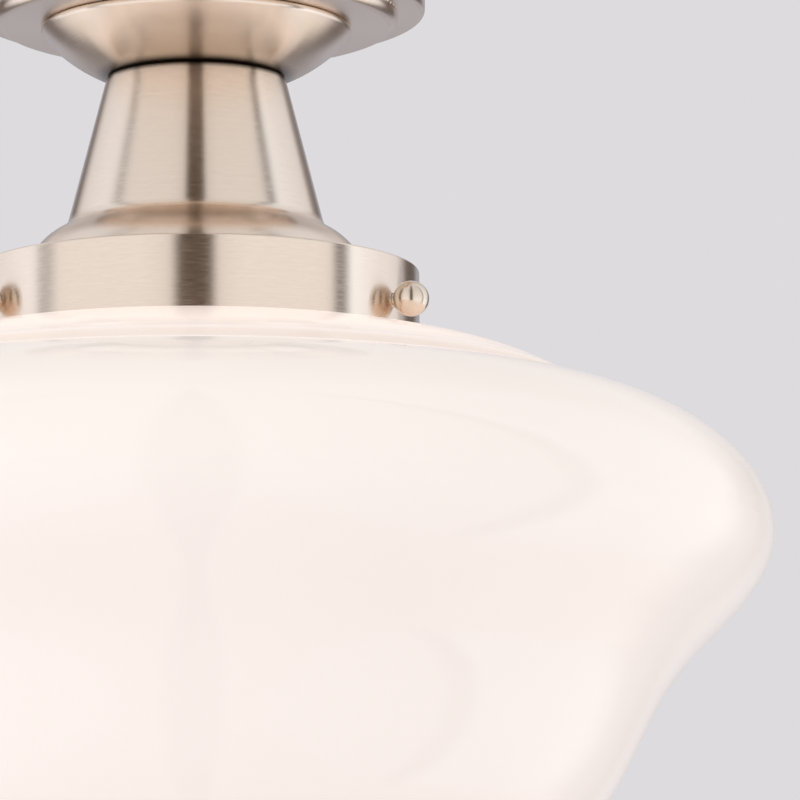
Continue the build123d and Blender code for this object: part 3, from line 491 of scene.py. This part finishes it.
def speckled(tree, colour):
    """Colour with a few tiny dark specks in it."""
    place = add(tree, "ShaderNodeTexCoord").outputs["Object"]
    cells = add(tree, "ShaderNodeTexVoronoi", {"Vector": place, "Scale": SPECKS_PER_METRE}).outputs
    speck = spread(tree, cells["Distance"], 1.0, 0.0, SPECK_CORE, SPECK_EDGE)
    chance = add(tree, "ShaderNodeSeparateColor", {0: cells["Color"]}).outputs[0]
    kept = maths(tree, "GREATER_THAN", chance, SPECKS_LEFT_OUT)
    return blend(tree, maths(tree, "MULTIPLY", speck, kept), colour, SPECK)


def opal_glass():
    """Glossy opal glass: warm white, faintly uneven, with a painted glow all over, warmer in its groove."""
    material, tree, shader = start_material("opal_glass", OPAL, OPAL_ROUGHNESS, 0.0, IOR=1.5,
                                            Specular_IOR_Level=0.3, Emission_Strength=1.0,
                                            Sheen_Weight=0.75, Sheen_Roughness=0.35,
                                            Sheen_Tint=(1.0, 0.95, 0.92, 1.0))
    marks = placed(tree, CLOUDING, Patch_size_mm=OPAL_PATCH)
    body = speckled(tree, blend(tree, marks["Patch"], times(OPAL, OPAL_SHADE), OPAL))
    # Painted shade on the riser and in the crease below it.
    tree.links.new(with_painted_shade(tree, body, GLASS_STEP_PAINTED_SHADE), shader.inputs["Base Color"])
    # Painted light: the glass glows all over as if lit from inside, and warmer in the groove under the metal
    # band, on the first tier.
    radius, _, _, z = from_axis(tree)
    painted_glow_share = maths(tree, "MULTIPLY", spread(tree, radius, 1.0, 0.0, GROOVE_RADIUS, GROOVE_END),
                   spread(tree, z, 0.0, 1.0, GROOVE_FOOT, GROOVE_TOP))
    tree.links.new(blend(tree, painted_glow_share, OPAL_GLOW, GROOVE_GLOW), shader.inputs["Emission Color"])
    rough = spread(tree, marks["Patch"], OPAL_ROUGHNESS - OPAL_SPREAD, OPAL_ROUGHNESS + OPAL_SPREAD)
    tree.links.new(rough, shader.inputs["Roughness"])
    relief(tree, shader, marks["Patch"], OPAL_RELIEF, OPAL_DEPTH)
    return material


FINISHES = {name: smooth_metal(name, **look) for name, look in METALS.items()}
FINISHES.update({name: moulded(name, **look) for name, look in MOULDINGS.items()})
FINISHES["opal_glass"] = opal_glass()


def dress_packed_nodes():
    """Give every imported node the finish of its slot, and each satin piece its own brushing."""
    for subpart in frame["record"]["subparts"]:
        node = subpart["node"]
        if node in BRUSHED_WITH_PAINTED_SHADE:
            finish = satin_nickel(f"satin_nickel_{node}", **BRUSHED_WITH_PAINTED_SHADE[node])
        else:
            finish = FINISHES[subpart["material_slot"]]
        for place in frame["nodes"][node].material_slots:
            place.material = finish


# ---------------------------------------------------------------- turned meshes
def smooth(data):
    """Shade a mesh smooth, with sharp edges where it bends."""
    data.shade_smooth()
    data.set_sharp_from_angle(angle=SHARP_EDGE)


def turned_mesh(name, rows, segments):
    """Mesh turned round Z. A row is a height and a radius, or a function of angle and height.

    A radius of 0 at the first or last row closes that end in a point. Without any, the last
    row joins the first, for a ring.
    """
    mesh = bmesh.new()
    rings = []
    for height, radius in rows:
        if radius == 0:
            rings.append([mesh.verts.new((0, 0, height))])
            continue
        ring = []
        for i in range(segments):
            angle = 2 * pi * i / segments
            r = radius(angle, height) if callable(radius) else radius
            ring.append(mesh.verts.new((r * cos(angle), r * sin(angle), height)))
        rings.append(ring)
    pairs = list(zip(rings, rings[1:]))
    if len(rings[0]) > 1 and len(rings[-1]) > 1:
        pairs.append((rings[-1], rings[0]))
    for low, high in pairs:
        for i in range(segments):
            k = (i + 1) % segments
            corners = [low[i % len(low)], low[k % len(low)], high[k % len(high)], high[i % len(high)]]
            mesh.faces.new(list(dict.fromkeys(corners)))
    bmesh.ops.recalc_face_normals(mesh, faces=mesh.faces)
    data = bpy.data.meshes.new(name)
    mesh.to_mesh(data)
    mesh.free()
    smooth(data)
    return data


def threaded_rows(root, crest, pitch, start, end, per_turn):
    """Rows along a right-hand thread with rounded crests that fades out at both ends."""
    def radius(angle, height):
        turn = (height / pitch - angle / (2 * pi)) % 1.0
        wave = 0.5 + 0.5 * cos(2 * pi * turn)
        fade = min(1.0, (height - start) / pitch, (end - height) / pitch)
        return root + (crest - root) * wave * max(0.0, fade)

    count = round((end - start) / pitch * per_turn)
    return [(start + (end - start) * i / count, radius) for i in range(count + 1)]


def place_piece(data, body, slot, node):
    """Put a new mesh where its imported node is, on the body that carries it."""
    piece = bpy.data.objects.new(data.name, data)
    bpy.context.scene.collection.objects.link(piece)
    data.materials.append(FINISHES[slot])
    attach(piece, body)
    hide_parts(node)


def along_azimuth(azimuth):
    """Matrix that lays what stands on Z outwards along this azimuth."""
    return Matrix.Rotation(radians(azimuth), 4, "Z") @ Matrix.Rotation(radians(90), 4, "Y")


def polar(azimuth, distance, height):
    """Place at this azimuth and distance off the light's axis."""
    return Matrix.Translation((distance * cos(radians(azimuth)), distance * sin(radians(azimuth)), height))


def make_thumbscrews():
    """Ball-headed screws with a threaded shank, bored at the end for their soft tips."""
    low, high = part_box("thumbscrew_2")
    axis_z = (low.z + high.z) / 2
    start = low.y
    ball = BALL_PLACE - start
    neck = ball - sqrt(BALL ** 2 - SCREW_SHANK ** 2)
    rows = [(TIP_BORE_DEPTH, 0), (TIP_BORE_DEPTH, TIP_BORE), (0, TIP_BORE),
            (0, SCREW_ROOT - SCREW_LEAD_IN / 2)]
    rows += threaded_rows(SCREW_ROOT, SCREW_SHANK, SCREW_PITCH, SCREW_LEAD_IN,
                          neck - SCREW_LEAD_IN, SCREW_ROWS)
    first = asin(SCREW_SHANK / BALL)
    for i in range(BALL_ROWS):
        turn = first + (pi - first) * i / BALL_ROWS
        rows.append((ball - BALL * cos(turn), BALL * sin(turn)))
    rows.append((ball + BALL, 0))
    for number, azimuth in enumerate(SCREW_AZIMUTHS, start=1):
        data = turned_mesh(f"thumbscrew_{number}_turned", rows, SCREW_SIDES)
        data.transform(polar(azimuth, start, axis_z) @ along_azimuth(azimuth))
        place_piece(data, f"screw_{number}", "polished_nickel", f"thumbscrew_{number}")


def make_nipple():
    """Hollow threaded nipple that clamps the whole stack."""
    low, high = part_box("threaded_nipple")
    rows = [(low.z, NIPPLE_BORE), (low.z, NIPPLE_ROOT)]
    rows += threaded_rows(NIPPLE_ROOT, NIPPLE_RADIUS, NIPPLE_PITCH, low.z + NIPPLE_EDGE,
                          high.z - NIPPLE_EDGE, NIPPLE_ROWS)
    rows += [(high.z, NIPPLE_ROOT), (high.z, NIPPLE_BORE)]
    data = turned_mesh("threaded_nipple_cut", rows, NIPPLE_SIDES)
    place_piece(data, "fixture", "bright_steel", "threaded_nipple")


def make_bulb_base():
    """Rolled screw base: a thin cup with a coarse round thread."""
    low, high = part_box("bulb_base")
    shoulder = high.z - BASE_SHOULDER
    hollow = high.z - BASE_CAP
    thread = threaded_rows(BASE_ROOT, BASE_RADIUS, BASE_PITCH, low.z + BASE_PLAIN,
                           shoulder - BASE_THREAD_DROP, BASE_ROWS)
    rows = [(high.z, 0), (high.z, BASE_END), (shoulder, BASE_ROOT), *reversed(thread),
            (low.z, BASE_ROOT + BASE_FLARE), (low.z, BASE_INSIDE), (hollow, BASE_INSIDE), (hollow, 0)]
    data = turned_mesh("bulb_base_rolled", rows, BASE_SIDES)
    place_piece(data, "bulb", "bulb_metal", "bulb_base")


def connector_rows():
    """Outline of a wire connector on Z: bore, bevelled mouth, collar, ribs and rounded end."""
    def taper(height):
        return CONNECTOR_MOUTH + (CONNECTOR_TIP - CONNECTOR_MOUTH) * height / CONNECTOR_LENGTH

    def ribbed(crown):
        """Radius of the ribbed stretch whose ribs reach this far out."""
        def radius(angle, height):
            between = (0.5 - 0.5 * cos(CONNECTOR_RIBS * angle)) ** RIB_CROWN
            return crown - CONNECTOR_RIB * between
        return radius

    bore_end = CONNECTOR_LENGTH - CONNECTOR_END
    turned_in = CONNECTOR_EDGE * CONNECTOR_BEVEL
    ribs_start = CONNECTOR_COLLAR + CONNECTOR_EDGE
    ribs_end = CONNECTOR_LENGTH - CONNECTOR_ROUND
    rows = [(bore_end, 0), (bore_end, CONNECTOR_BORE), (0, CONNECTOR_BORE), (0, taper(0) - CONNECTOR_EDGE),
            (turned_in, taper(0) - turned_in), (CONNECTOR_EDGE, taper(CONNECTOR_EDGE)),
            (CONNECTOR_COLLAR, taper(CONNECTOR_COLLAR)),
            (ribs_start, ribbed(taper(CONNECTOR_COLLAR) - CONNECTOR_RIB_START))]
    for i in range(1, CONNECTOR_ROWS + 1):
        height = ribs_start + (ribs_end - ribs_start) * i / CONNECTOR_ROWS
        rows.append((height, ribbed(taper(height))))
    for i in range(1, CONNECTOR_ROWS):
        turn = pi / 2 * i / CONNECTOR_ROWS
        height = ribs_end + CONNECTOR_ROUND * sin(turn)
        drawn_in = CONNECTOR_ROUND * (1 - cos(turn)) * CONNECTOR_DOME
        rows.append((height, taper(height) - CONNECTOR_RIB - drawn_in))
    rows.append((CONNECTOR_LENGTH, CONNECTOR_TIP - CONNECTOR_RIB - CONNECTOR_ROUND))
    rows.append((CONNECTOR_LENGTH, 0))
    return rows


def make_wire_connectors():
    """Twist-on wire connectors: tapered caps with ribs for the fingers, and a plain collar."""
    rows = connector_rows()
    whole = bmesh.new()
    for azimuth, distance, points_to in CONNECTORS:
        data = turned_mesh("connector", rows, CONNECTOR_RIBS * SIDES_PER_RIB)
        data.transform(polar(azimuth, distance * MM, CONNECTOR_Z) @ along_azimuth(points_to))
        whole.from_mesh(data)
        bpy.data.meshes.remove(data)
    joined = bpy.data.meshes.new("wire_connectors_ribbed")
    whole.to_mesh(joined)
    whole.free()
    smooth(joined)
    place_piece(joined, "fixture", "connector_plastic", "wire_connectors")


# ---------------------------------------------------------------- studio
def panels_round(tree, azimuth, off_front, z):
    """The panels' colour all round. Their sides reach further back high up."""
    beside = spread(tree, off_front, 0.0, SIDE_WRAP, WRAP_START, WRAP_FULL)
    lift = spread(tree, z, 0.0, 1.0, WRAP_LOW, WRAP_HIGH)
    wrapped = maths(tree, "SUBTRACT", 1.0, maths(tree, "MULTIPLY", beside, lift))
    azimuth = maths(tree, "MULTIPLY", azimuth, wrapped)
    ramp = add(tree, "ShaderNodeValToRGB", {0: spread(tree, azimuth, 0.0, 1.0, -pi, pi)})
    stops = ramp.color_ramp.elements
    while len(stops) > 1:
        stops.remove(stops[-1])
    for i, (degrees, colour) in enumerate(PANELS):
        position = degrees / 360 + 0.5
        stop = stops[0] if i == 0 else stops.new(position)
        stop.position = position
        stop.color = (*colour, 1.0)
    return ramp.outputs[0]


def under_panels(tree, off_front, z):
    """1 below the panels' lower edges, which rise away from their middle, and 0 above them."""
    from_middle = maths(tree, "MULTIPLY", maths(tree, "SUBTRACT", off_front, PANEL_MIDDLE), PANEL_TURN)
    foot = maths(tree, "MULTIPLY", maths(tree, "COSINE", from_middle), -PANEL_FOOT)
    lower = spread(tree, maths(tree, "SUBTRACT", z, foot), 1.0, 0.0, -FOOT_SOFT, FOOT_SOFT)
    past_gap = spread(tree, off_front, 0.0, 1.0, GAP_SIDE, GAP_END)
    before_end = spread(tree, off_front, 1.0, 0.0, PANEL_END, PANEL_GONE)
    return maths(tree, "MULTIPLY", lower, maths(tree, "MULTIPLY", past_gap, before_end))


def reflected_studio(tree):
    """What metal and glass reflect in each direction, and the soft light on everything else."""
    direction = add(tree, "ShaderNodeTexCoord").outputs["Generated"]
    x, y, z = add(tree, "ShaderNodeSeparateXYZ", {0: direction}).outputs
    azimuth = maths(tree, "ARCTAN2", x, maths(tree, "MULTIPLY", y, -1.0))
    off_front = maths(tree, "ABSOLUTE", azimuth)
    around = panels_round(tree, azimuth, off_front, z)
    around = blend(tree, under_panels(tree, off_front, z), around, BELOW)
    behind = maths(tree, "MULTIPLY", spread(tree, off_front, 0.0, 1.0, REAR_START, REAR_FULL),
                   spread(tree, z, 0.0, 1.0, CEILING_START, CEILING_FULL))
    around = blend(tree, behind, around, REAR_CEILING)
    level = maths(tree, "MULTIPLY", spread(tree, z, 1.0, OVERHEAD, OVERHEAD_START, OVERHEAD_FULL),
                  spread(tree, z, UNDERFOOT, 1.0, UNDERFOOT_FULL, UNDERFOOT_START))
    reflected = add(tree, "ShaderNodeVectorMath", {0: around, "Scale": level}, operation="SCALE")
    fill = blend(tree, spread(tree, z, 0.0, 1.0, -1.0, 1.0), FILL_BELOW, FILL_ABOVE)
    return reflected.outputs[0], fill


def make_world():
    """Even backdrop for the camera, panels for what reflects, and soft light for the rest."""
    world = bpy.data.worlds.new("studio")
    world.use_nodes = True
    tree = world.node_tree
    bpy.context.scene.world = world
    reflected, fill = reflected_studio(tree)
    path = add(tree, "ShaderNodeLightPath").outputs
    light = blend(tree, path["Is Glossy Ray"], fill, reflected)
    seen = maths(tree, "MAXIMUM", path["Is Camera Ray"], path["Is Transmission Ray"])
    background = tree.nodes["Background"]
    tree.links.new(blend(tree, seen, light, BACKDROP), background.inputs[0])
    background.inputs[1].default_value = 1.0


def make_floor():
    """Pale floor that fades into the backdrop, clear from below and seen by no reflection."""
    data = bpy.data.meshes.new("floor")
    disc = bmesh.new()
    bmesh.ops.create_circle(disc, cap_ends=True, segments=FLOOR_SIDES, radius=FLOOR_RADIUS)
    disc.to_mesh(data)
    disc.free()
    floor = bpy.data.objects.new("floor", data)
    floor.location.z = FLOOR_Z
    floor.visible_glossy = False
    bpy.context.scene.collection.objects.link(floor)
    material, tree, shader = start_material("pale_floor", FLOOR, FLOOR_ROUGHNESS)
    place = add(tree, "ShaderNodeTexCoord").outputs["Object"]
    away = add(tree, "ShaderNodeVectorMath", {0: place}, operation="LENGTH").outputs["Value"]
    fade = spread(tree, away, 1.0, 0.0, FLOOR_FADE_START, FLOOR_FADE_END)
    front = maths(tree, "SUBTRACT", 1.0, add(tree, "ShaderNodeNewGeometry").outputs["Backfacing"])
    tree.links.new(maths(tree, "MULTIPLY", fade, front), shader.inputs["Alpha"])
    data.materials.append(material)


def make_soft_light(name, place, power):
    """Large soft light aimed at the shade, seen by no reflection."""
    data = bpy.data.lights.new(name, "AREA")
    data.shape = "DISK"
    data.size = LIGHT_SIZE
    data.energy = power
    light = bpy.data.objects.new(name, data)
    light.location = place
    light.rotation_mode = "QUATERNION"
    light.rotation_quaternion = (LIGHT_AIM - light.location).to_track_quat("-Z", "Y")
    light.visible_camera = False
    light.visible_glossy = False
    bpy.context.scene.collection.objects.link(light)


def make_camera():
    """Camera at the photograph's place and angle."""
    ahead = Vector((sin(CAMERA_YAW) * cos(CAMERA_PITCH), cos(CAMERA_YAW) * cos(CAMERA_PITCH),
                    sin(CAMERA_PITCH)))
    right = Vector((cos(CAMERA_YAW), -sin(CAMERA_YAW), 0))
    above = right.cross(ahead)
    across = right * cos(CAMERA_ROLL) + above * sin(CAMERA_ROLL)
    above = above * cos(CAMERA_ROLL) - right * sin(CAMERA_ROLL)
    data = bpy.data.cameras.new("camera")
    data.sensor_width = CAMERA_SENSOR
    data.lens = CAMERA_LENS
    data.clip_start = CAMERA_NEAR
    camera = bpy.data.objects.new("camera", data)
    turn = Matrix((across, above, -ahead)).transposed().to_4x4()
    camera.matrix_world = Matrix.Translation(CAMERA_PLACE) @ turn
    bpy.context.scene.collection.objects.link(camera)
    bpy.context.scene.camera = camera


dress_packed_nodes()
make_thumbscrews()
make_nipple()
make_bulb_base()
make_wire_connectors()
make_world()
make_floor()
for light_name, light_place, watts in LIGHTS:
    make_soft_light(light_name, light_place, watts)
make_camera()
bpy.context.scene.view_settings.view_transform = "Standard"
